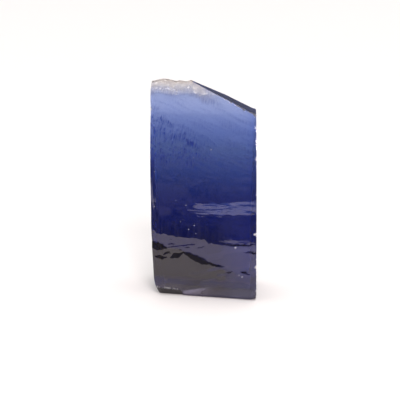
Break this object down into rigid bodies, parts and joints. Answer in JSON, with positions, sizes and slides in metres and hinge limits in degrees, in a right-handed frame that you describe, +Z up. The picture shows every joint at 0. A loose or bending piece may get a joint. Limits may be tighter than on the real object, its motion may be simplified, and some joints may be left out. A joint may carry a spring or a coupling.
{
  "type": "sapphire rough block",
  "caption": "Upright wedge of clear blue sapphire rough with a glossy broken face, a sawn back and side, a sloping sawn top and a flat foot.",
  "frame": {"origin": "middle of the bounding box at the height of the flat foot", "axes": "+Z up from the foot to the ridge; the broken glossy face looks towards -Y and the sawn back is the plane on +Y; the sawn side is on +X"},
  "size_m": [0.0229, 0.012, 0.04],
  "materials": {
    "sapphire": "clear blue corundum: glossy where it broke, fine-ground matt where it was sawn, hackly grey along the thin ridge"
  },
  "bodies": {
    "root": {"sapphire": "sapphire"}
  },
  "joints": []
}
